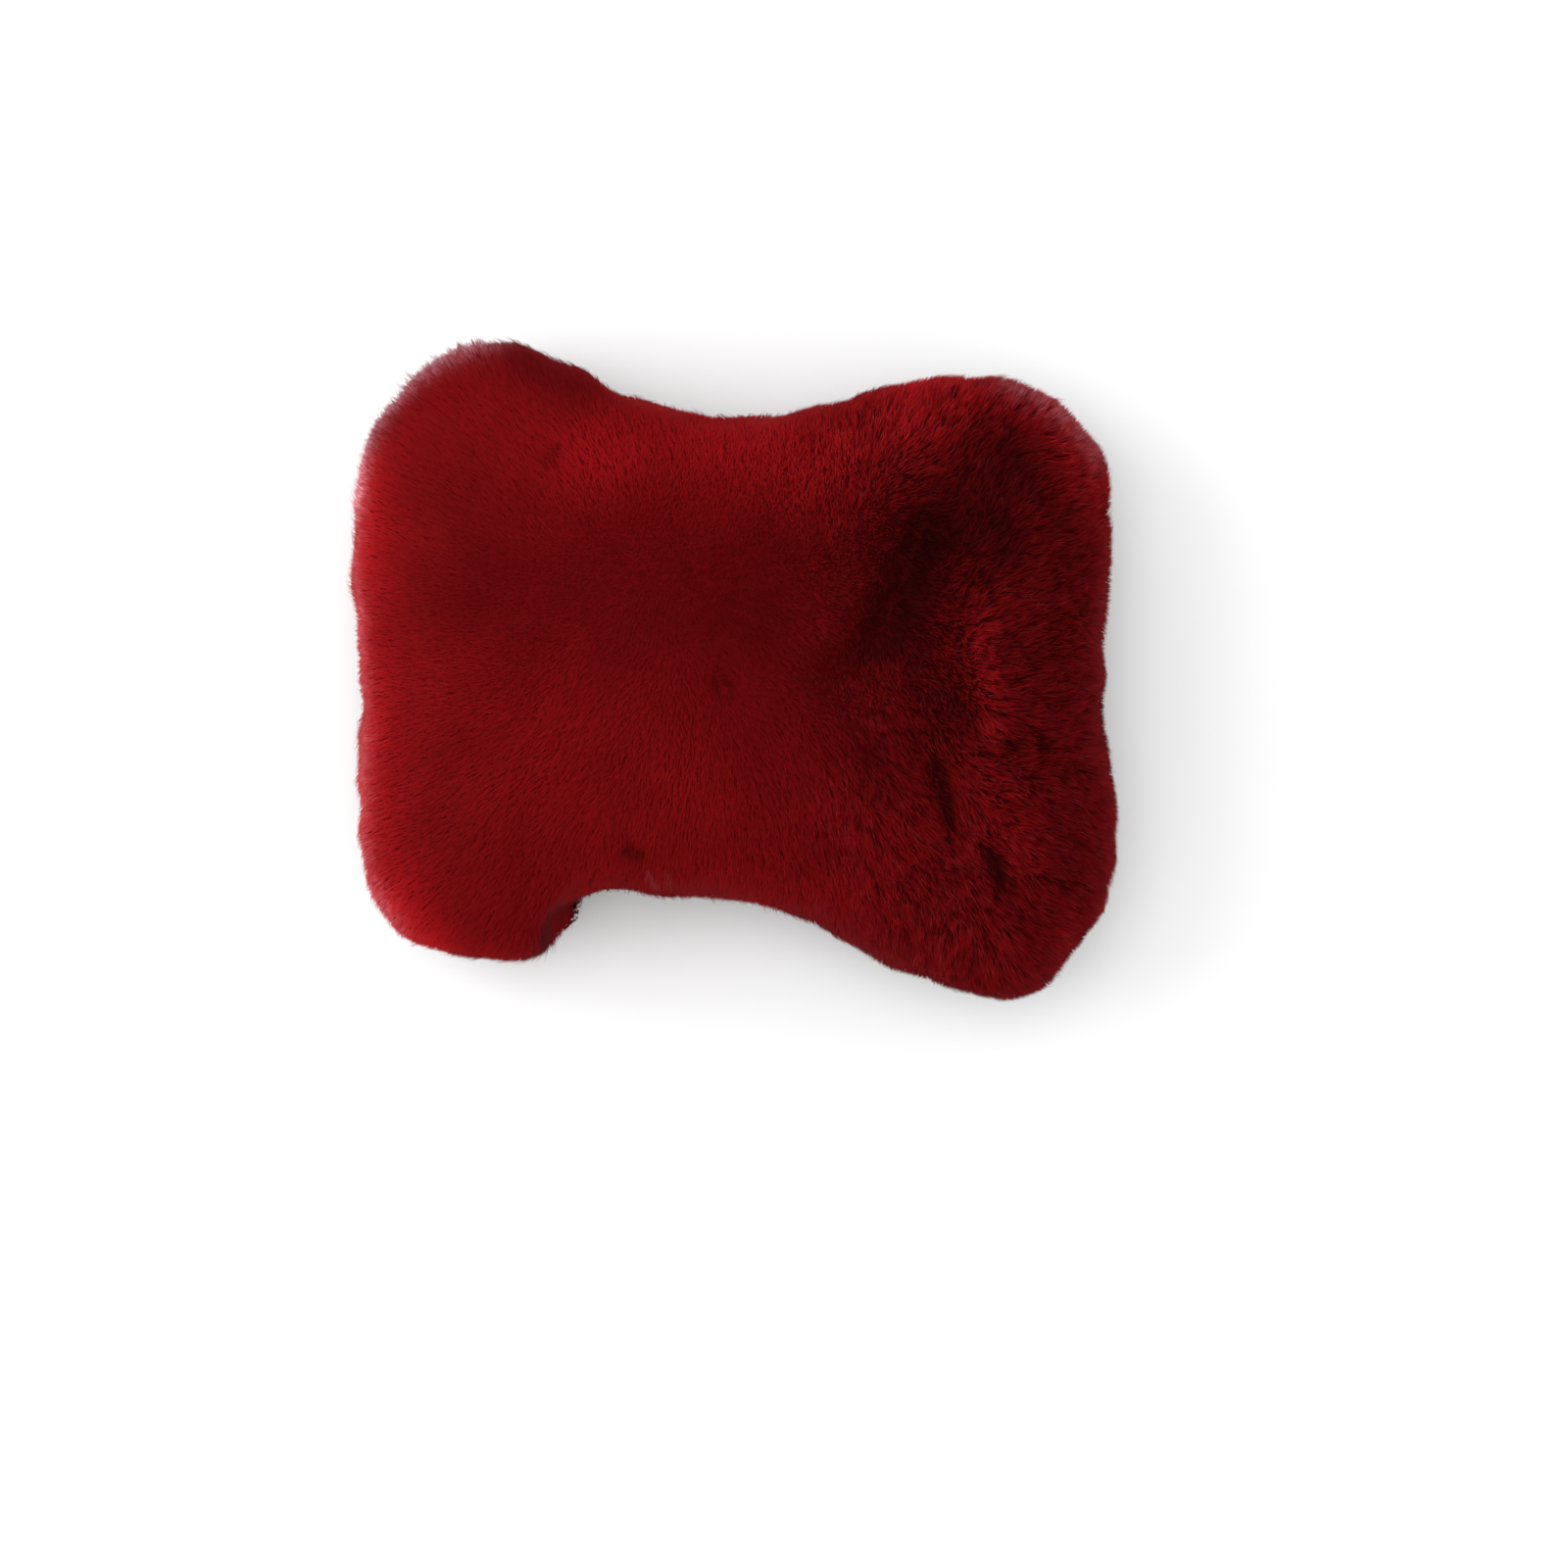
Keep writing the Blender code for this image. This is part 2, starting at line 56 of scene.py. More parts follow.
# Hide
HIDE_DEPTH = 0.0014         # the thick under-fur lies this far under the skin of the solids
HIDE_DEPTH_COARSE = 0.0028  # and this far where the pile is coarse
HEM_MARGIN = 0.00002        # corners less than this above the lowest ones belong to the hem
VOXEL = 0.005
STUFFING_PRESSURE = 2.0
SETTLE_FRAMES = 20
MOST_SWELL = 0.0012         # the stuffing moves the skin no further than this
NEIGHBOURS = 6              # cells of the simulated cover that move each corner of the skin
PUCKER_START = 0.002        # the back cloth puckers above this level, where it turns up to the seam
PUCKER_DEPTH = 0.0007
PUCKER_COUNT = 26.0         # how many puckers go round, roughly
NOTCH = (-0.064, -0.099)    # the lower left notch, where the hide is drawn in a little more
NOTCH_REACH = 0.012
NOTCH_START = 0.005         # height from which it is drawn in
NOTCH_MOVE = (-0.0060, 0.0)
FRINGE_ROOM = 0.0050        # the hide is drawn in this much where the fringe stands out

# Pile
ROOT_SINK = 0.0012          # the strands are rooted this far in the under-fur
PILE_REACH = 0.0066         # how far a fully leaning strand runs along the skin
FRONT_RISE = 0.0014         # how far the tips stand over the skin on the front
RIM_RISE = 0.0004           # and round the sides
FRINGE_RISE = (0.0012, 0.0068)  # least rise of a fringe strand, and the most that is added to it
FRINGE_SHARE = 0.65         # share of the strands in a fringe zone that stand out
STRAND_COUNT = 172000
STRAND_RADIUS = 0.00036
GUARD_COUNT = 10500
GUARD_RADIUS = 0.00021
GUARD_REACH = 0.0060        # how far past the pile the long hairs go
GUARD_BENDS = (0.35, 0.70)  # where along a long hair it can bend
GUARD_WEIGHTS = (0.15, 0.5, 9.0)  # chance of one on the front, more at the sides, more in the frosting with its painted backlight
HEM_COUNT = 9000
HEM_REACH = 0.006           # how far up the hem's underside the pile goes
HEM_SLOPE = -0.3            # faces that look down less than this aren't its underside
PILE_PIECES = 4
TUFT_CROWD = 0.055          # tufts for each strand
FROST_AND_BACKLIGHT_TUFT = 0.0028         # size of the tufts whose tips share the pale frost and painted backlight
COLOUR_TUFT = 0.004         # and of those that share a lighter or darker colour
NAP = (0.12, -0.50)         # which way the middle of the front is combed
NAP_REACH = 0.075
COMB_SPAN = 0.13            # a place this far from the middle is combed straight out
PILE_SEED = 41
LOWEST = 0.0006             # no strand reaches lower, so none goes through the floor

# A run over the front, how far to each side its effect reaches, and how strong it is
Zone = namedtuple("Zone", "route reach strength")
PARTINGS = (
    Zone(((0.074, 0.054), (0.056, 0.012)), 0.0100, 0.7),
    Zone(((0.0765, -0.036), (0.083, -0.064)), 0.0045, 0.4),
    Zone(((0.096, -0.068), (0.103, -0.084)), 0.0045, 0.4),
    Zone(((0.103, -0.029), (0.106, -0.030)), 0.0030, 0.3),
    Zone(((0.114, -0.028), (0.116, -0.033)), 0.0030, 0.3),
    Zone(((-0.040, -0.069), (-0.038, -0.071)), 0.0030, 0.3),
    Zone(((-0.069, 0.078), (-0.067, 0.081)), 0.0040, 0.3),
    Zone(((-0.006, -0.003), (-0.004, -0.008)), 0.0040, 0.3),
)
# Painted shade: hollows, furrows, partings, pits and darker bands on the front, darkened into the
# pile's colour
PAINTED_SHADE_ZONES = (
    Zone(((0.073, 0.050), (0.066, 0.030), (0.057, 0.016)), 0.0130, 0.78),
    Zone(((0.100, 0.078), (0.090, 0.050)), 0.0210, 0.56),
    Zone(((0.102, 0.052), (0.104, 0.044)), 0.0060, 0.45),
    Zone(((0.070, 0.010), (0.082, -0.020)), 0.0140, 0.38),
    Zone(((0.048, 0.006), (0.036, 0.000)), 0.0080, 0.30),
    Zone(((0.122, 0.066), (0.124, 0.000), (0.130, -0.080)), 0.0200, 0.30),
    Zone(((-0.080, 0.026), (0.010, 0.030)), 0.0260, 0.26),
    Zone(((-0.110, 0.075), (-0.100, 0.030)), 0.0200, 0.16),
    Zone(((-0.080, 0.118), (-0.060, 0.104)), 0.0120, 0.30),
    Zone(((0.010, 0.014), (0.050, -0.030)), 0.0240, 0.24),
    Zone(((0.0765, -0.036), (0.0785, -0.046), (0.0825, -0.060)), 0.0028, 0.58),
    Zone(((0.0975, -0.071), (0.1015, -0.081)), 0.0026, 0.72),
    Zone(((0.104, -0.086), (0.118, -0.112)), 0.0060, 0.30),
    Zone(((0.102, -0.032), (0.106, -0.030)), 0.0022, 0.60),
    Zone(((0.114, -0.027), (0.118, -0.033)), 0.0020, 0.65),
    Zone(((-0.006, -0.004), (-0.004, -0.008)), 0.0036, 0.62),
    Zone(((-0.040, -0.069), (-0.037, -0.071)), 0.0024, 0.60),
    Zone(((-0.070, 0.077), (-0.066, 0.081)), 0.0030, 0.30),
)
# Painted light: the left rim that faces the light, ridges and lighter bands, lightened into the pile's
# colour
PAINTED_LIGHT_ZONES = (
    Zone(((-0.050, 0.082), (0.030, 0.076), (0.066, 0.094)), 0.0200, 0.45),
    Zone(((0.080, 0.112), (0.118, 0.098), (0.140, 0.070)), 0.0130, 0.55),
    Zone(((0.0925, 0.014), (0.0975, -0.024)), 0.0050, 0.80),
    Zone(((0.086, -0.030), (0.104, -0.056), (0.112, -0.078)), 0.0080, 0.30),
    Zone(((-0.150, 0.070), (-0.151, 0.000), (-0.148, -0.080), (-0.122, -0.110)), 0.0150, 1.25),
)
# Frost: pale tips with a painted backlight glow, mostly round the left rim where light comes from
# behind
FROST_AND_BACKLIGHT_ZONES = (
    Zone(((-0.138, 0.108), (-0.126, 0.120), (-0.100, 0.129)), 0.0110, 1.0),
    Zone(((-0.150, 0.066), (-0.146, 0.092), (-0.136, 0.108)), 0.0090, 0.80),
    Zone(((-0.151, 0.050), (-0.149, -0.060), (-0.138, -0.098)), 0.0120, 0.17),
    Zone(((0.108, 0.108), (0.140, 0.086)), 0.0090, 0.22),
)
FRINGE_ZONES = (
    Zone(((-0.136, 0.108), (-0.124, 0.120), (-0.098, 0.129)), 0.0080, 1.0),
    Zone(((-0.152, 0.060), (-0.148, 0.090), (-0.136, 0.108)), 0.0080, 0.45),
)
TUFT_STREAKS = (
    Zone(((-0.033, -0.078), (-0.030, -0.085)), 0.0012, 0.05),
    Zone(((-0.026, -0.078), (-0.025, -0.085)), 0.0010, 0.03),
)
GRAIN_START = -0.010        # from here to the right the pile grows coarser
GRAIN_FULL = 0.080

# Colours in linear light; the woven goods have a darker one between their threads, painted shade, and
# one on them
# Painted shade deep in the pile, at the strands' roots and on the under-fur where the pile is coarse
SHADED_ROOT_RED = (0.036, 0.0010, 0.0014, 1.0)
UNDER_RED = (0.150, 0.0026, 0.0036, 1.0)
BODY_RED = (0.220, 0.0036, 0.0048, 1.0)
TIP_RED = (0.265, 0.0062, 0.0092, 1.0)
# Pale tips with painted backlight on them, where the frost lies
FROST_AND_BACKLIGHT_PINK = (0.860, 0.480, 0.560, 1.0)
BACK_RED_AND_GAP_SHADE = ((0.020, 0.0020, 0.0030, 1.0), (0.085, 0.0070, 0.0095, 1.0))
STRAP_BLACK_AND_GAP_SHADE = ((0.004, 0.004, 0.005, 1.0), (0.020, 0.020, 0.022, 1.0))

# Threads a metre, each way
BACK_THREADS = (900.0, 900.0, 0.0)
STRAP_THREADS = (1300.0, 520.0, 0.0)


def unit(vectors):
    """Vectors of length 1 along the given ones."""
    length = np.linalg.norm(vectors, axis=-1, keepdims=True)
    return vectors / np.maximum(length, 1e-12)


def smooth_step(low, high, value):
    """0 below low and 1 above high, with a soft rise between them."""
    share = np.clip((value - low) / (high - low), 0.0, 1.0)
    return share * share * (3 - 2 * share)


def link_object(name, data):
    item = bpy.data.objects.new(name, data)
    bpy.context.scene.collection.objects.link(item)
    return item


def new_object(name, bm, material):
    mesh = bpy.data.meshes.new(name)
    bm.to_mesh(mesh)
    bm.free()
    mesh.materials.append(material)
    mesh.shade_smooth()
    return link_object(name, mesh)


# Materials

def new_material(name):
    material = bpy.data.materials.new(name)
    material.use_nodes = True
    nodes = material.node_tree.nodes
    return material, nodes, material.node_tree.links, nodes["Principled BSDF"]


def feed(links, socket, value):
    """Give an input its value, which is another node's output or a plain value."""
    if isinstance(value, bpy.types.NodeSocket):
        links.new(value, socket)
    else:
        socket.default_value = value


def mix_colour(nodes, links, factor, first, second, blend="MIX"):
    mix = nodes.new("ShaderNodeMix")
    mix.data_type = "RGBA"
    mix.blend_type = blend
    for socket, value in ((mix.inputs[0], factor), (mix.inputs[6], first), (mix.inputs[7], second)):
        feed(links, socket, value)
    return mix.outputs[2]


def noise_value(nodes, links, vector, scale, detail=2.0):
    """Noise from 0 to 1."""
    texture = nodes.new("ShaderNodeTexNoise")
    for label, value in (("Vector", vector), ("Scale", scale), ("Detail", detail)):
        feed(links, texture.inputs[label], value)
    return texture.outputs["Fac"]


def attribute_value(nodes, name):
    """A number that build_strands gives each of a strand's corners."""
    node = nodes.new("ShaderNodeAttribute")
    node.attribute_name = name
    return node.outputs["Fac"]


def remap(nodes, links, value, low, high, to_low=0.0, to_high=1.0):
    """The range from low to high softly remapped to another."""
    node = nodes.new("ShaderNodeMapRange")
    node.interpolation_type = "SMOOTHSTEP"
    for socket, given in zip(list(node.inputs)[:5], (value, low, high, to_low, to_high)):
        feed(links, socket, given)
    return node.outputs["Result"]


def calculate(nodes, links, operation, first, second):
    node = nodes.new("ShaderNodeMath")
    node.operation = operation
    for socket, value in zip(node.inputs, (first, second)):
        feed(links, socket, value)
    return node.outputs[0]


def grey_of(nodes, links, value):
    grey = nodes.new("ShaderNodeCombineColor")
    for socket in grey.inputs:
        links.new(value, socket)
    return grey.outputs[0]


def add_bump(nodes, links, shader, height, distance):
    """Relief of a material: a height from 0 to 1 over a distance in metres."""
    bump = nodes.new("ShaderNodeBump")
    bump.inputs["Distance"].default_value = distance
    links.new(height, bump.inputs["Height"])
    links.new(bump.outputs["Normal"], shader.inputs["Normal"])


def new_group(name, inputs, output):
    """An empty node group with its sockets; inputs and output are names with their types."""
    group = bpy.data.node_groups.new(name, "ShaderNodeTree")
    for label, kind in inputs:
        group.interface.new_socket(label, in_out="INPUT", socket_type=kind)
    group.interface.new_socket(output[0], in_out="OUTPUT", socket_type=output[1])
    given = group.nodes.new("NodeGroupInput").outputs
    taken = group.nodes.new("NodeGroupOutput").inputs[0]
    return group, group.nodes, group.links, given, taken


def place_group(nodes, links, group, values):
    """Put a node group in a material; values go by the names of its inputs."""
    node = nodes.new("ShaderNodeGroup")
    node.node_tree = group
    for label, value in values.items():
        feed(links, node.inputs[label], value)
    return node.outputs[0]


def uneven_dye_group():
    """A colour made lighter and darker in soft patches, as dye takes unevenly."""
    numbers = [(label, "NodeSocketFloat") for label in ("Scale", "Detail", "Darkest", "Lightest")]
    inputs = [("Place", "NodeSocketVector"), ("Colour", "NodeSocketColor")] + numbers
    group, nodes, links, given, taken = new_group("uneven_dye", inputs, ("Colour", "NodeSocketColor"))
    patches = noise_value(nodes, links, given["Place"], given["Scale"], given["Detail"])
    share = remap(nodes, links, patches, 0.3, 0.7, given["Darkest"], given["Lightest"])
    share = grey_of(nodes, links, share)
    links.new(mix_colour(nodes, links, 1.0, given["Colour"], share, "MULTIPLY"), taken)
    return group


def pile_material(dye):
    """Dyed pile: painted shade towards the root, red along the strand, pale pink with painted
    backlight at some tips, and each strand's own painted light and shade.
    """
    material, nodes, links, shader = new_material("dyed_pile")
    place = nodes.new("ShaderNodeTexCoord").outputs["Object"]
    along = attribute_value(nodes, "along")
    # Painted shade towards the root, as deep in the pile; the strand's depth number sets how strong it
    # is
    root_shade_share = remap(nodes, links, along, 0.20, 0.85, 1.0, 0.0)
    root_shade_share = calculate(nodes, links, "MULTIPLY", root_shade_share, attribute_value(nodes, "depth"))
    colour = mix_colour(nodes, links, remap(nodes, links, along, 0.75, 1.0), BODY_RED, TIP_RED)
    colour = mix_colour(nodes, links, root_shade_share, colour, SHADED_ROOT_RED)
    outer_part = remap(nodes, links, along, 0.25, 0.75)
    # Frost: pale pink on the outer part of some strands, with painted backlight on them
    frost_and_backlight_share = calculate(nodes, links, "MULTIPLY", attribute_value(nodes, "frost"), outer_part)
    colour = mix_colour(nodes, links, frost_and_backlight_share, colour, FROST_AND_BACKLIGHT_PINK)
    colour = place_group(nodes, links, dye, {
        "Place": place, "Colour": colour,
        "Scale": 26.0, "Detail": 3.0, "Darkest": 0.88, "Lightest": 1.10})
    # Painted light and shade of each strand, with its own lighter or darker colour
    tone = grey_of(nodes, links, attribute_value(nodes, "tone"))
    colour = mix_colour(nodes, links, 1.0, colour, tone, "MULTIPLY")
    links.new(colour, shader.inputs["Base Color"])
    shader.inputs["Roughness"].default_value = 0.75
    shader.inputs["Specular IOR Level"].default_value = 0.03
    shader.inputs["Sheen Weight"].default_value = 0.03
    shader.inputs["Sheen Roughness"].default_value = 0.4
    shader.inputs["Sheen Tint"].default_value = (1.0, 0.40, 0.46, 1.0)
    return material


def hide_material():
    """Thick under-fur: nearly as light as the pile where that is smooth, with painted shade where it
    is coarse, seen in the gaps of the pile.
    """
    material, nodes, links, shader = new_material("under_fur")
    place = nodes.new("ShaderNodeTexCoord").outputs["Object"]
    apart = nodes.new("ShaderNodeSeparateXYZ")
    links.new(place, apart.inputs["Vector"])
    coarse = remap(nodes, links, apart.outputs["X"], GRAIN_START, GRAIN_FULL)
    fine = noise_value(nodes, links, place, 900.0, 2.0)
    # Painted shade: the under-fur is darkened where the pile is coarse, as its gaps lie in shade; fine
    # darker flecks go with the bump
    colour = mix_colour(nodes, links, coarse, UNDER_RED, SHADED_ROOT_RED)
    colour = mix_colour(nodes, links, remap(nodes, links, fine, 0.35, 0.7, 0.0, 0.5), colour, SHADED_ROOT_RED)
    links.new(colour, shader.inputs["Base Color"])
    shader.inputs["Roughness"].default_value = 0.95
    shader.inputs["Specular IOR Level"].default_value = 0.03
    add_bump(nodes, links, shader, fine, 0.0012)
    return material


def weave_group():
    """Plain weave: how high each thread stands, from 0 to 1, for a number of threads a metre."""
    inputs = (("Place", "NodeSocketVector"), ("Threads", "NodeSocketVector"))
    group, nodes, links, given, taken = new_group("plain_weave", inputs, ("Height", "NodeSocketFloat"))
    count = nodes.new("ShaderNodeVectorMath")
    count.operation = "MULTIPLY"
    links.new(given["Place"], count.inputs[0])
    links.new(given["Threads"], count.inputs[1])
    apart = nodes.new("ShaderNodeSeparateXYZ")
    links.new(count.outputs[0], apart.inputs["Vector"])
    swells = []
    for axis in "XY":
        turn = calculate(nodes, links, "MULTIPLY", apart.outputs[axis], math.pi)
        wave = calculate(nodes, links, "SINE", turn, 0.0)
        swells.append(calculate(nodes, links, "ABSOLUTE", wave, 0.0))
    over = nodes.new("ShaderNodeTexChecker")
    over.inputs["Scale"].default_value = 1.0
    links.new(count.outputs[0], over.inputs["Vector"])
    under = calculate(nodes, links, "SUBTRACT", 1.0, over.outputs["Fac"])
    along = calculate(nodes, links, "MULTIPLY", swells[0], over.outputs["Fac"])
    across = calculate(nodes, links, "MULTIPLY", swells[1], under)
    links.new(calculate(nodes, links, "ADD", along, across), taken)
    return group


def woven_material(name, weave, dye, threads, colours, roughness, relief):
    """Woven goods: the weave's height gives the bump and the colour, with painted shade between the
    threads.
    """
    material, nodes, links, shader = new_material(name)
    place = nodes.new("ShaderNodeTexCoord").outputs["Object"]
    height = place_group(nodes, links, weave, {"Place": place, "Threads": threads})
    colour = place_group(nodes, links, dye, {
        "Place": place, "Colour": mix_colour(nodes, links, height, *colours),
        "Scale": 18.0, "Detail": 4.0, "Darkest": 0.82, "Lightest": 1.12})
    links.new(colour, shader.inputs["Base Color"])
    links.new(remap(nodes, links, height, 0.0, 1.0, 1.0, roughness), shader.inputs["Roughness"])
    shader.inputs["Specular IOR Level"].default_value = 0.25
    shader.inputs["Sheen Weight"].default_value = 0.15
    add_bump(nodes, links, shader, height, relief)
    return material


def wadding_material():
    """Fibre wadding: matted white fibres."""
    material, nodes, links, shader = new_material("fibre_wadding")
    place = nodes.new("ShaderNodeTexCoord").outputs["Object"]
    warp = nodes.new("ShaderNodeTexNoise")
    warp.inputs["Scale"].default_value = 60.0
    links.new(place, warp.inputs["Vector"])
    bent = mix_colour(nodes, links, 0.06, place, warp.outputs["Color"])
    fine = noise_value(nodes, links, bent, 320.0, 4.0)
    colour = mix_colour(nodes, links, fine, (0.62, 0.60, 0.56, 1.0), (0.86, 0.85, 0.82, 1.0))
    links.new(colour, shader.inputs["Base Color"])
    shader.inputs["Roughness"].default_value = 0.95
    add_bump(nodes, links, shader, fine, 0.0008)
    return material


def floor_material():
    material, nodes, links, shader = new_material("studio_floor")
    shader.inputs["Base Color"].default_value = (0.88, 0.88, 0.88, 1.0)
    shader.inputs["Roughness"].default_value = 0.9
    shader.inputs["Specular IOR Level"].default_value = 0.1
    return material


# Hide and back cloth

def clean_copy(node):
    """The mesh of a CAD node with its corners joined, as a bmesh."""
    bm = bmesh.new()
    bm.from_mesh(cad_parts[node].data)
    bmesh.ops.remove_doubles(bm, verts=bm.verts, dist=0.000002)
    return bm


def faces_above_hem(bm):
    """The faces that can be reached from the crown without crossing the hem."""
    hem = min(vertex.co.z for vertex in bm.verts) + HEM_MARGIN
    crown = max(bm.faces, key=lambda face: face.calc_center_median().z)
    found = {crown}
    waiting = [crown]
    while waiting:
        for edge in waiting.pop().edges:
            if all(vertex.co.z < hem for vertex in edge.verts):
                continue
            for other in edge.link_faces:
                if other not in found:
                    found.add(other)
                    waiting.append(other)
    return found


def fur_panel():
    """The whole fur panel made finer, with its outer skin marked and its corners numbered."""
    bm = clean_copy("front_fur_panel")
    mark = bm.faces.layers.int.new("outer")
    number = bm.verts.layers.int.new("number")
    for face in faces_above_hem(bm):
        face[mark] = 1
    bmesh.ops.subdivide_edges(bm, edges=bm.edges[:], cuts=1, use_grid_fill=True)
    for count, vertex in enumerate(bm.verts):
        vertex[number] = count
    return bm


def outer_skin(panel):
    """The pile's outer surface: the faces of the fur panel above its hem."""
    bm = panel.copy()
    mark = bm.faces.layers.int["outer"]
    bmesh.ops.delete(bm, geom=[face for face in bm.faces if not face[mark]], context="FACES")
    inner = [vertex for vertex in bm.verts if not vertex.is_boundary]
    for _ in range(2):
        bmesh.ops.smooth_vert(
            bm, verts=inner, factor=0.5, use_axis_x=True, use_axis_y=True, use_axis_z=True)
    bm.normal_update()
    places = np.array([vertex.co[:] for vertex in bm.verts])
    normals = np.array([vertex.normal[:] for vertex in bm.verts])
    moves = -normals * (FRINGE_ROOM * fringe_strength(places, normals))[:, None]
    for vertex, move in zip(bm.verts, moves):
        vertex.co += Vector(move)
        distance = (vertex.co.xy - Vector(NOTCH)).length
        level = float(smooth_step(NOTCH_START, OUTLINE_LEVEL, vertex.co.z))
        vertex.co.xy += Vector(NOTCH_MOVE) * math.exp(-(distance / NOTCH_REACH) ** 2) * level
    bm.normal_update()
    return bm


def closed_cover(skin):
    """The skin closed underneath and cut into even cells, as a piece for the simulation."""
    bm = skin.copy()
    bmesh.ops.holes_fill(bm, edges=[edge for edge in bm.edges if edge.is_boundary], sides=0)
    bmesh.ops.triangulate(bm, faces=bm.faces)
    mesh = bpy.data.meshes.new("stuffed_cover")
    bm.to_mesh(mesh)
    bm.free()
    cover = link_object("stuffed_cover", mesh)
    remesh = cover.modifiers.new("even_cells", "REMESH")
    remesh.mode = "VOXEL"
    remesh.voxel_size = VOXEL
    graph = bpy.context.evaluated_depsgraph_get()
    cover.data = bpy.data.meshes.new_from_object(cover.evaluated_get(graph))
    cover.modifiers.clear()
    return cover


def settle(skin):
    """Let the stuffing press the cover out, with its seam held, and move the skin as it goes."""
    cover = closed_cover(skin)
    before = np.array([vertex.co[:] for vertex in cover.data.vertices])
    seam = cover.vertex_groups.new(name="seam")
    low = before[:, 2].min() + 2 * VOXEL
    seam.add([int(index) for index in np.nonzero(before[:, 2] < low)[0]], 1.0, "REPLACE")
    cloth = cover.modifiers.new("stuffing", "CLOTH")
    cloth.settings.quality = 6
    cloth.settings.use_pressure = True
    cloth.settings.uniform_pressure_force = STUFFING_PRESSURE
    cloth.settings.vertex_group_mass = "seam"
    cloth.settings.effector_weights.gravity = 0.0
    cloth.collision_settings.use_collision = False
    scene = bpy.context.scene
    for number in range(1, SETTLE_FRAMES + 1):
        scene.frame_set(number)
    graph = bpy.context.evaluated_depsgraph_get()
    after = np.array([vertex.co[:] for vertex in cover.evaluated_get(graph).data.vertices])
    bpy.data.objects.remove(cover)
    scene.frame_set(1)
    move = after - before
    length = np.linalg.norm(move, axis=1, keepdims=True)
    move *= np.minimum(1.0, MOST_SWELL / np.maximum(length, 1e-9))
    tree = KDTree(len(before))
    for index, point in enumerate(before):
        tree.insert(point, index)
    tree.balance()
    for vertex in skin.verts:
        near = [index for _, index, _ in tree.find_n(vertex.co, NEIGHBOURS)]
        vertex.co += Vector(move[near].mean(axis=0))
    skin.normal_update()


def coarseness(x):
    """From 0 where the pile is smooth, on the left, to 1 where it is coarse."""
    return smooth_step(GRAIN_START, GRAIN_FULL, x)


def hide_depth(x):
    """How far the under-fur lies under the pile's skin."""
    return HIDE_DEPTH + (HIDE_DEPTH_COARSE - HIDE_DEPTH) * coarseness(x)


def make_hide(panel, skin, material):
    """The hide with its thick under-fur: the whole fur panel, its skin drawn in below the tips."""
    number = skin.verts.layers.int["number"]
    drawn_in = {}
    for vertex in skin.verts:
        drawn_in[vertex[number]] = vertex.co - vertex.normal * float(hide_depth(vertex.co.x))
    bm = panel.copy()
    number = bm.verts.layers.int["number"]
    for vertex in bm.verts:
        vertex.co = drawn_in.get(vertex[number], vertex.co)
    for layers, name in ((bm.verts.layers.int, "number"), (bm.faces.layers.int, "outer")):
        layers.remove(layers[name])
    return new_object("hide_with_under_fur", bm, material)


def hem_skin(panel):
    """The underside of the fur panel's hem, between its outer skin and the back cloth."""
    bm = panel.copy()
    mark = bm.faces.layers.int["outer"]
    high = min(vertex.co.z for vertex in bm.verts) + HEM_REACH
    rest = [face for face in bm.faces
            if face[mark] or face.normal.z > HEM_SLOPE or face.calc_center_median().z > high]
    bmesh.ops.delete(bm, geom=rest, context="FACES")
    bmesh.ops.triangulate(bm, faces=bm.faces)
    bm.verts.index_update()
    return bm


def make_back_cover(material):
    """The back cloth, made finer, with small puckers where it is gathered into the seam."""
    bm = clean_copy("back_panel")
    bmesh.ops.subdivide_edges(bm, edges=bm.edges[:], cuts=2, use_grid_fill=True)
    bm.normal_update()
    seam = max(vertex.co.z for vertex in bm.verts)
    moves = []
    for vertex in bm.verts:
        gathered = smooth_step(PUCKER_START, seam - 0.002, vertex.co.z) * (vertex.normal.z < -0.05)
        turn = math.atan2(vertex.co.y, vertex.co.x)
        fold = noise.noise(Vector((math.cos(turn), math.sin(turn), 0.0)) * PUCKER_COUNT)
        moves.append(vertex.normal * float(gathered) * PUCKER_DEPTH * (fold + 0.6))
    for vertex, move in zip(bm.verts, moves):
        vertex.co += move
    return new_object("back_cover", bm, material)


# Pile

def scatter(skin, count, rng):
    """Points spread evenly over the skin, with the skin's normal at each."""
    points = np.array([vertex.co[:] for vertex in skin.verts])
    normals = np.array([vertex.normal[:] for vertex in skin.verts])
    faces = np.array([[vertex.index for vertex in face.verts] for face in skin.faces])
    a, b, c = (points[faces[:, i]] for i in range(3))
    area = np.linalg.norm(np.cross(b - a, c - a), axis=1) / 2
    total = np.cumsum(area)
    marks = (np.arange(count) + rng.random(count)) / count * total[-1]
    chosen = np.minimum(np.searchsorted(total, marks), len(faces) - 1)
    u, v = rng.random(count), rng.random(count)
    fold = u + v > 1
    u[fold], v[fold] = 1 - u[fold], 1 - v[fold]
    weights = np.column_stack([1 - u - v, u, v])[:, :, None]
    place = (points[faces[chosen]] * weights).sum(axis=1)
    normal = unit((normals[faces[chosen]] * weights).sum(axis=1))
    return place, normal


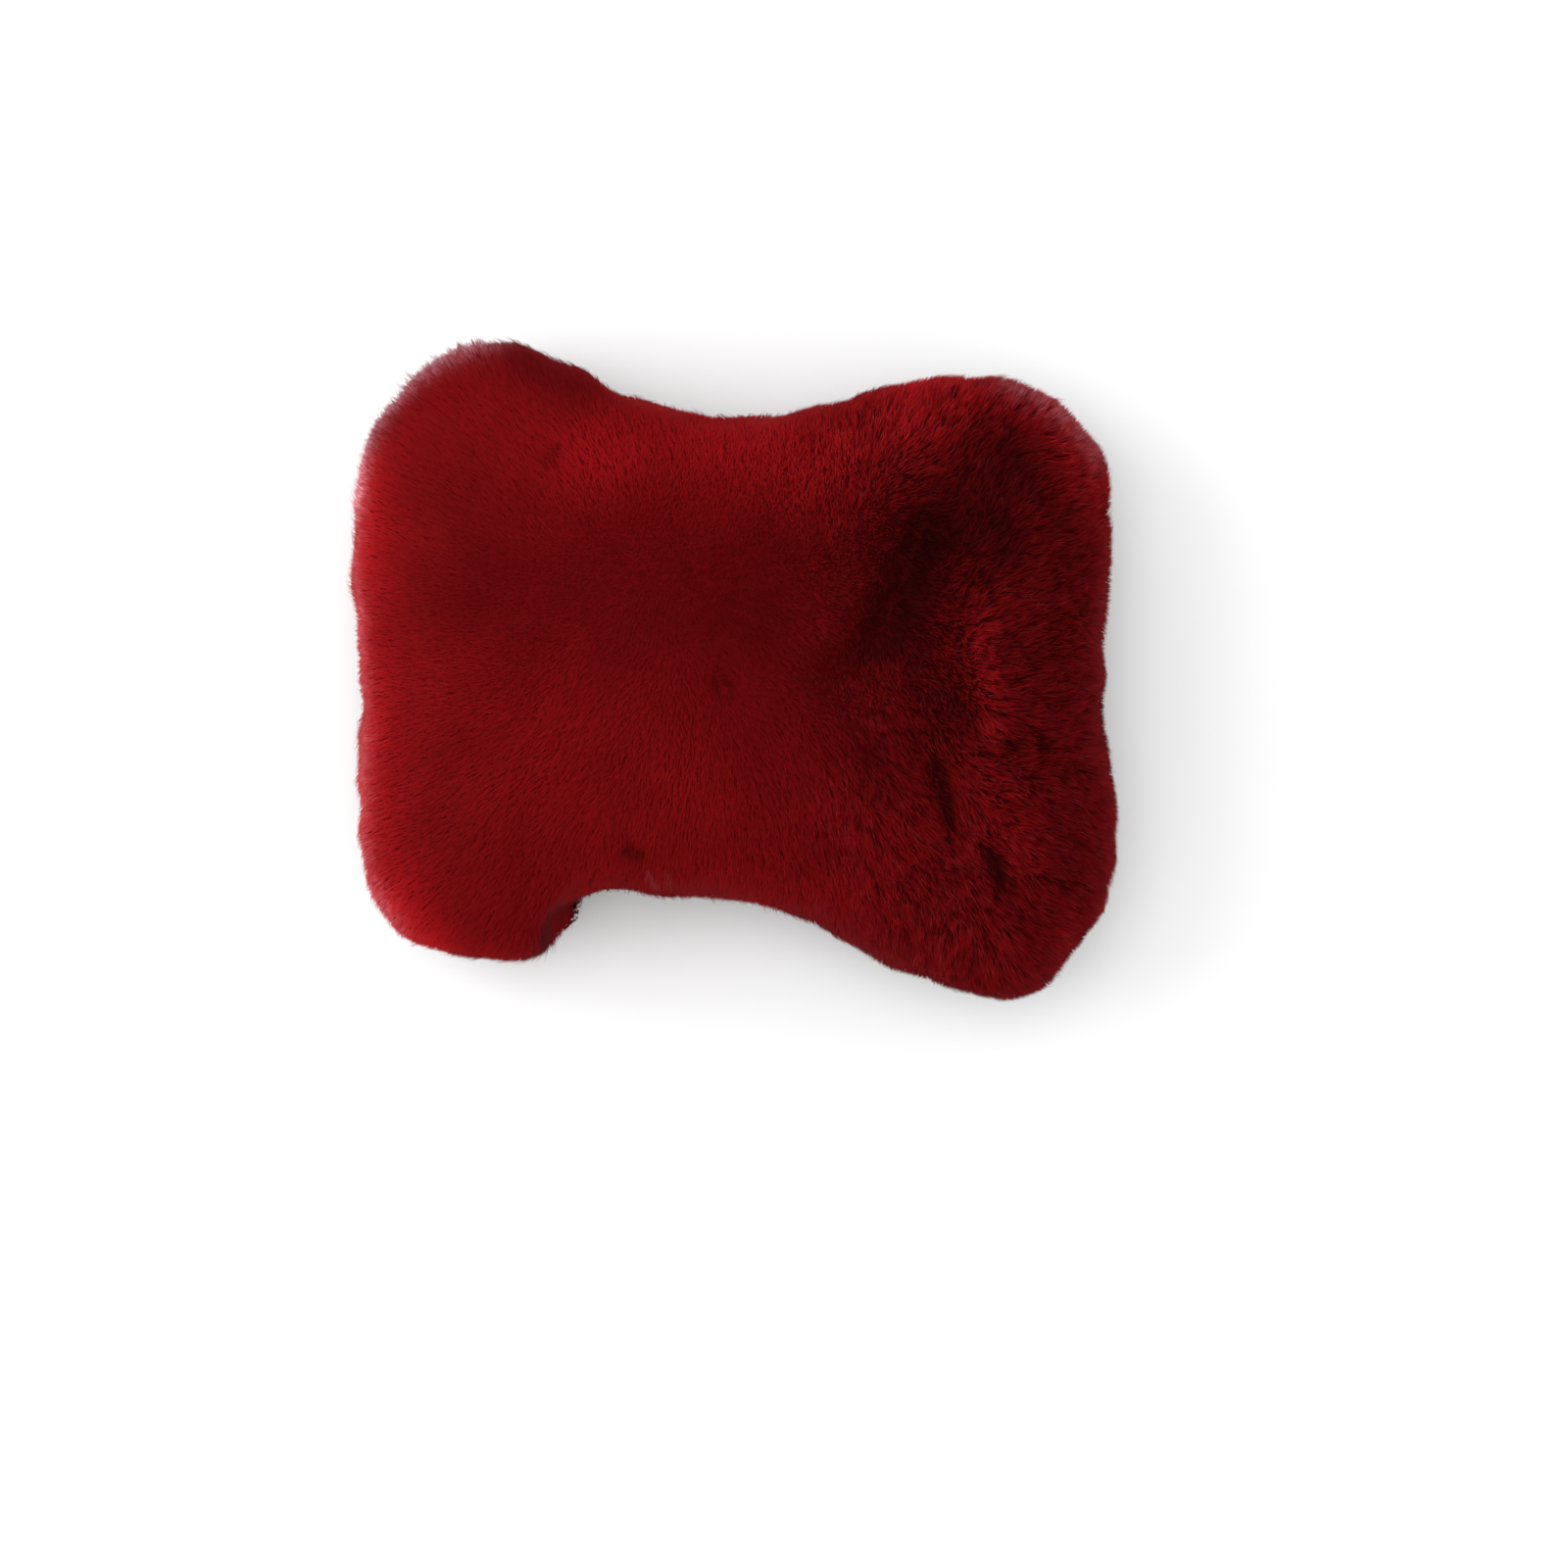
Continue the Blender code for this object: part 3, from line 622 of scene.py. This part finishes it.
def nearest_on_route(place, route):
    """Distance from a route, and the way from it, both in plan."""
    best = np.full(len(place), 9.0)
    away = np.zeros((len(place), 2))
    for start, end in zip(route, route[1:]):
        start, end = np.array(start), np.array(end)
        run = end - start
        share = np.clip((place[:, :2] - start) @ run / (run @ run), 0, 1)
        gap = place[:, :2] - start - share[:, None] * run
        distance = np.linalg.norm(gap, axis=1)
        closer = distance < best
        best = np.where(closer, distance, best)
        away[closer] = gap[closer]
    return best, away


def zone_strength(place, zones):
    """How strongly a set of zones acts together at each place, 0 far from them all."""
    left = np.ones(len(place))
    for zone in zones:
        distance = nearest_on_route(place, zone.route)[0]
        left *= 1 - zone.strength * np.exp(-(distance / zone.reach) ** 2)
    return 1 - left


def rim_share(normal):
    """0 where the pile faces the front and 1 where it faces sideways or down."""
    return 1 - np.clip(normal[:, 2], 0.0, 1.0)


def fringe_strength(place, normal):
    """The fringe stands out in a band round the outline's level."""
    band = np.exp(-((place[:, 2] - OUTLINE_LEVEL) / FRINGE_BAND / 1.5) ** 2)
    return zone_strength(place, FRINGE_ZONES) * smooth_step(0.25, 0.70, rim_share(normal)) * band


def frost_and_backlight_strength(place, normal):
    """The frosting, with its painted backlight, lies in a band round the outline's level, a little
    above it.
    """
    band = np.exp(-((place[:, 2] - OUTLINE_LEVEL - FRINGE_BAND) / FRINGE_BAND / 1.3) ** 2)
    return zone_strength(place, FROST_AND_BACKLIGHT_ZONES) * smooth_step(0.04, 0.36, rim_share(normal)) * band


def front_share(place):
    """1 on the front, fading to 0 down the sides below the outline's level."""
    return smooth_step(OUTLINE_LEVEL - FRONT_FADE, OUTLINE_LEVEL + FRONT_FADE / 3, place[:, 2])


def parting_push(place):
    """Push of the strands to either side of each parting."""
    push = np.zeros((len(place), 3))
    for zone in PARTINGS:
        distance, away = nearest_on_route(place, zone.route)
        weight = zone.strength * np.exp(-(distance / zone.reach) ** 2) * front_share(place)
        push[:, :2] += unit(away) * weight[:, None]
    return push


def flow_noise(place, size, seed):
    """A smooth random vector at each place; size is its grain."""
    offset = Vector((seed, seed * 1.7, seed * 0.3))
    return np.array([noise.noise_vector(Vector(p) / size + offset)[:] for p in place])


def strand_lean(place, normal, grain, rng):
    """Which way each strand leans: outwards, down the sides, apart at the partings."""
    outward = place * (1.0, 1.15, 0.0) / COMB_SPAN
    lean = outward * 0.66
    middle = np.exp(-(place[:, 0] ** 2 + place[:, 1] ** 2) / NAP_REACH ** 2)
    lean[:, :2] += middle[:, None] * NAP
    lean[:, 2] -= 0.35 * rim_share(normal)
    lean += flow_noise(place, 0.040, 3.0) * (0.25 + 0.30 * grain)[:, None]
    lean += flow_noise(place, 0.009, 8.0) * (0.08 + 0.22 * grain)[:, None]
    lean += parting_push(place) * 0.9
    lean += rng.normal(0.0, 1.0, lean.shape) * (0.12 + 0.10 * grain)[:, None]
    return lean - normal * (lean * normal).sum(axis=1, keepdims=True)


def strand_template(levels):
    """One strand of length 1: a three-sided cone, cut across at the levels where it bends."""
    bm = bmesh.new()
    bmesh.ops.create_cone(bm, cap_ends=True, segments=3, radius1=1.0, radius2=0.0, depth=1.0)
    bmesh.ops.remove_doubles(bm, verts=bm.verts, dist=0.0001)
    bmesh.ops.translate(bm, verts=bm.verts, vec=(0.0, 0.0, 0.5))
    for level in levels:
        geometry = bm.verts[:] + bm.edges[:] + bm.faces[:]
        bmesh.ops.bisect_plane(
            bm, geom=geometry, dist=0.0001, plane_co=(0, 0, level), plane_no=(0, 0, 1))
    bmesh.ops.triangulate(bm, faces=bm.faces)
    bmesh.ops.recalc_face_normals(bm, faces=bm.faces)
    bm.verts.index_update()
    points = np.array([vertex.co[:] for vertex in bm.verts])
    faces = []
    corners = []
    for face in bm.faces:
        faces.append([vertex.index for vertex in face.verts])
        cap = all(vertex.co.z < 0.0001 for vertex in face.verts)
        middle = face.calc_center_median()
        side = math.floor((math.atan2(middle.y, middle.x) / math.tau * 3) % 3)
        for vertex in face.verts:
            if cap:
                corners.append((0.5 + 0.4 * vertex.co.x, 0.03 + 0.025 * vertex.co.y))
                continue
            turn = math.atan2(vertex.co.y, vertex.co.x) / math.tau * 3
            on_axis = vertex.co.xy.length < 0.0001
            offset = 0.5 if on_axis else (turn - side + 4.5) % 3 - 1.5
            corners.append(((side + offset) / 3, 0.08 + 0.90 * vertex.co.z))
    bm.free()
    return points, np.array(faces), np.array(corners)


def gather_tips(place, tip, rng):
    """The way from each tip to the tip that its tuft gathers round."""
    count = int(len(place) * TUFT_CROWD)
    chosen = rng.choice(len(place), count, replace=False)
    tree = KDTree(count)
    for number, index in enumerate(chosen):
        tree.insert(place[index], number)
    tree.balance()
    nearest = chosen[[tree.find(point)[1] for point in place]]
    return tip[nearest] - tip


# Each strand also carries how strong its painted root shade is, its painted light and shade with its
# own lighter or darker colour, and its frost with painted backlight
Strands = namedtuple("Strands", "root bend tip radius normal tone depth frost")


def build_strands(name, strands, template, material):
    """Copy the template to every strand, bent along its own curve."""
    points, faces, corners = template
    count = len(strands.root)
    t = points[:, 2][None, :, None]
    root, bend, tip = (part[:, None] for part in (strands.root, strands.bend, strands.tip))
    centre = root * (1 - t) ** 2 + 2 * bend * t * (1 - t) + tip * t ** 2
    axis = unit(tip - root)
    across = unit(np.cross(axis, (0.31, 0.52, 0.79)))
    over = np.cross(axis, across)
    ring = points[None, :, :1] * across + points[None, :, 1:2] * over
    vertices = centre + ring * strands.radius[:, None, None]
    side = unit(ring * 2 + axis * 0.15)
    edge = 0.10 + 0.22 * coarseness(strands.root[:, 0])[:, None, None]
    soft = unit(side * edge + strands.normal[:, None] * 0.85)
    index = faces[None] + (np.arange(count) * len(points))[:, None, None]
    mesh = bpy.data.meshes.new(name)
    mesh.from_pydata(vertices.reshape(-1, 3), [], index.reshape(-1, 3))
    grid = math.ceil(math.sqrt(count))
    cell = np.column_stack([np.arange(count) % grid, np.arange(count) // grid])
    spot = (cell[:, None] + 0.06 + 0.88 * corners[None]) / grid
    mesh.uv_layers.new(name="OFBake").data.foreach_set("uv", spot.astype(np.float32).ravel())
    values = {
        "along": np.tile(points[:, 2], count),
        "tone": np.repeat(strands.tone, len(points)),
        "depth": np.repeat(strands.depth, len(points)),
        "frost": np.repeat(strands.frost, len(points)),
    }
    for label, value in values.items():
        attribute = mesh.attributes.new(label, "FLOAT", "POINT")
        attribute.data.foreach_set("value", value.astype(np.float32))
    mesh.materials.append(material)
    mesh.shade_smooth()
    mesh.normals_split_custom_set_from_vertices(soft.reshape(-1, 3).astype(np.float32))
    return link_object(name, mesh)


def strand_rise(grain, rim, fringe, chance, stretch, wispy, rng):
    """How far each tip stands over the skin."""
    rise = FRONT_RISE + (RIM_RISE - FRONT_RISE) * rim
    rise += rng.normal(0.0, 1.0, len(grain)) * (0.0002 + 0.0003 * grain)
    rise += fringe * (FRINGE_RISE[0] + FRINGE_RISE[1] * chance)
    return rise + stretch * rim * chance * (0.15 + 0.45 * wispy)


def strand_light_shade_and_tone(place, rim, rough, wispy, rng):
    """How light each strand is: painted shade and painted light by its zone, its tuft, its own chance,
    and painted shade at the rim.
    """
    front = front_share(place)
    # Painted shade in the hollows, furrows, partings and pits
    dark = zone_strength(place, PAINTED_SHADE_ZONES) * front
    # Painted light on the lit left rim, ridges and lighter bands
    bright = zone_strength(place, PAINTED_LIGHT_ZONES) * front
    tufts = flow_noise(place, COLOUR_TUFT, 5.0)[:, 0]
    # Painted shade on the rim that faces away from the light, all round but the lit left side and the
    # fringe
    edge = 0.5 * smooth_step(0.75, 1.0, rim) * smooth_step(-0.14, -0.09, place[:, 0]) * (1 - wispy)
    tone = (1 - dark) * (1 + bright) * (1 + 0.45 * rough * tufts) * (1 - edge)
    tone *= 1 + rng.normal(0.0, 1.0, len(place)) * (0.05 + 0.09 * rough)
    return np.clip(tone, 0.05, 2.0)


def strand_frost_and_backlight(place, normal, grain, rng):
    """How white each strand is: pale tips with painted backlight in tufts along the rim, and here and
    there on the right.
    """
    count = len(place)
    tufts = smooth_step(-0.12, 0.16, flow_noise(place, FROST_AND_BACKLIGHT_TUFT, 7.0)[:, 1])
    frost = frost_and_backlight_strength(place, normal) * (0.35 + 0.65 * tufts) * (0.40 + 0.60 * rng.random(count))
    frost = np.maximum(frost, zone_strength(place, TUFT_STREAKS) * front_share(place))
    return np.maximum(frost, 0.025 * grain * (rng.random(count) < 0.10))


def grow(place, normal, rng, radius, stretch):
    """Strands at places on the skin; stretch is how far their tips go past the pile's surface."""
    count = len(place)
    grain = coarseness(place[:, 0])
    rim = rim_share(normal)
    chance = rng.random(count)
    rough = np.maximum(grain, 0.5 * smooth_step(0.5, 1.0, rim))
    lean = strand_lean(place, normal, rough, rng)
    wispy = fringe_strength(place, normal)
    fringe = wispy * (rng.random(count) < FRINGE_SHARE)
    lean *= (1 - 0.75 * fringe)[:, None]
    root = place - normal * (hide_depth(place[:, 0]) + ROOT_SINK)[:, None]
    rise = strand_rise(grain, rim, fringe, chance, stretch, wispy, rng)
    reach = PILE_REACH + stretch * chance
    tip = place + lean * reach[:, None] + normal * rise[:, None]
    bend = root + (normal * 0.75 + lean * 0.25) * reach[:, None] * 0.6
    pull = gather_tips(place, tip, rng) * (0.05 + 0.27 * rough + 0.58 * fringe)[:, None]
    tip += pull
    bend += pull * 0.35
    for point in (root, bend, tip):
        point[:, 2] = np.maximum(point[:, 2], LOWEST)
    tone = strand_light_shade_and_tone(place, rim, rough, wispy, rng)
    frost = strand_frost_and_backlight(place, normal, grain, rng)
    width = radius * (1 + rng.normal(0.0, 0.15, count)) * (1 + 0.3 * fringe)
    # How strong the painted shade at each root is: weak where the pile is smooth, strong where it is
    # coarse
    depth = 0.25 + 0.60 * grain
    return Strands(root, bend, tip, width, normal, tone, depth, frost)


def make_pile(skin, hem, material):
    """All strands: the pile in pieces from left to right, its long hairs, and the hem below."""
    noise.seed_set(PILE_SEED)       # or else the noise of vectors takes its seed from the clock
    rng = np.random.default_rng(PILE_SEED)
    place, normal = scatter(skin, STRAND_COUNT, rng)
    strands = grow(place, normal, rng, STRAND_RADIUS, 0.0)
    template = strand_template(())
    order = np.argsort(np.argsort(place[:, 0]))
    pieces = []
    for number in range(PILE_PIECES):
        part = order * PILE_PIECES // STRAND_COUNT == number
        chosen = Strands(*(value[part] for value in strands))
        pieces.append(build_strands(f"pile_{number + 1}", chosen, template, material))
    place, normal = scatter(skin, GUARD_COUNT * 4, rng)
    front, sides, frost_and_backlight_share = GUARD_WEIGHTS
    weight = front + sides * rim_share(normal) + frost_and_backlight_share * frost_and_backlight_strength(place, normal)
    chosen = rng.choice(len(place), GUARD_COUNT, replace=False, p=weight / weight.sum())
    guards = grow(place[chosen], normal[chosen], rng, GUARD_RADIUS, GUARD_REACH)
    pieces.append(build_strands("long_hairs", guards, strand_template(GUARD_BENDS), material))
    under = grow(*scatter(hem, HEM_COUNT, rng), rng, STRAND_RADIUS, 0.0)
    pieces.append(build_strands("hem_pile", under, template, material))
    return pieces


# Stage

def set_camera():
    """The photograph's view, straight down on the front."""
    data = bpy.data.cameras.new("camera")
    data.sensor_width = SENSOR
    width = FRAME_SIZE * METRES_PER_PIXEL
    data.lens = SENSOR * (CAMERA_HEIGHT - OUTLINE_LEVEL) / width
    camera = link_object("camera", data)
    x = (FRAME_SIZE / 2 - PILLOW_MIDDLE[0]) * METRES_PER_PIXEL
    y = (PILLOW_MIDDLE[1] - FRAME_SIZE / 2) * METRES_PER_PIXEL
    camera.location = (x, y, CAMERA_HEIGHT)
    bpy.context.scene.camera = camera


def add_light(name, place, size, power):
    data = bpy.data.lights.new(name, "AREA")
    data.shape = "DISK"
    data.size = size
    data.energy = power
    light = link_object(name, data)
    light.location = place
    aim = Vector((0.0, 0.0, 0.04)) - Vector(place)
    light.rotation_euler = aim.to_track_quat("-Z", "Y").to_euler()


def set_stage():
    """A white floor, a white sky and two soft lights."""
    bm = bmesh.new()
    bmesh.ops.create_grid(bm, x_segments=1, y_segments=1, size=4.0)
    floor = new_object("floor", bm, floor_material())
    floor.location.z = -0.0005
    world = bpy.data.worlds.new("studio")
    world.use_nodes = True
    world.node_tree.nodes["Background"].inputs["Color"].default_value = (1.0, 1.0, 1.0, 1.0)
    world.node_tree.nodes["Background"].inputs["Strength"].default_value = 1.0
    bpy.context.scene.world = world
    bpy.context.scene.view_settings.view_transform = "Standard"
    add_light("key", (-1.00, 0.22, 0.70), 1.2, 8.0)
    add_light("top", (-0.2, 0.2, 2.2), 1.4, 10.0)


set_camera()
set_stage()
panel = fur_panel()
skin = outer_skin(panel)
settle(skin)
bmesh.ops.triangulate(skin, faces=skin.faces)
skin.verts.index_update()
hem = hem_skin(panel)
hide = make_hide(panel, skin, hide_material())
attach(hide, "root")
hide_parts("front_fur_panel")
dye = uneven_dye_group()
for piece in make_pile(skin, hem, pile_material(dye)):
    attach(piece, "root")
    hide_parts("front_fur_panel")
for surface in (panel, skin, hem):
    surface.free()
weave = weave_group()
back = make_back_cover(woven_material("woven_back", weave, dye, BACK_THREADS, BACK_RED_AND_GAP_SHADE, 0.8, 0.0004))
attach(back, "root")
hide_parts("back_panel")
elastic = woven_material("elastic_band", weave, dye, STRAP_THREADS, STRAP_BLACK_AND_GAP_SHADE, 0.6, 0.0006)
for node, material in (("elastic_strap", elastic), ("filling", wadding_material())):
    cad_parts[node].data.materials.clear()
    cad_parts[node].data.materials.append(material)
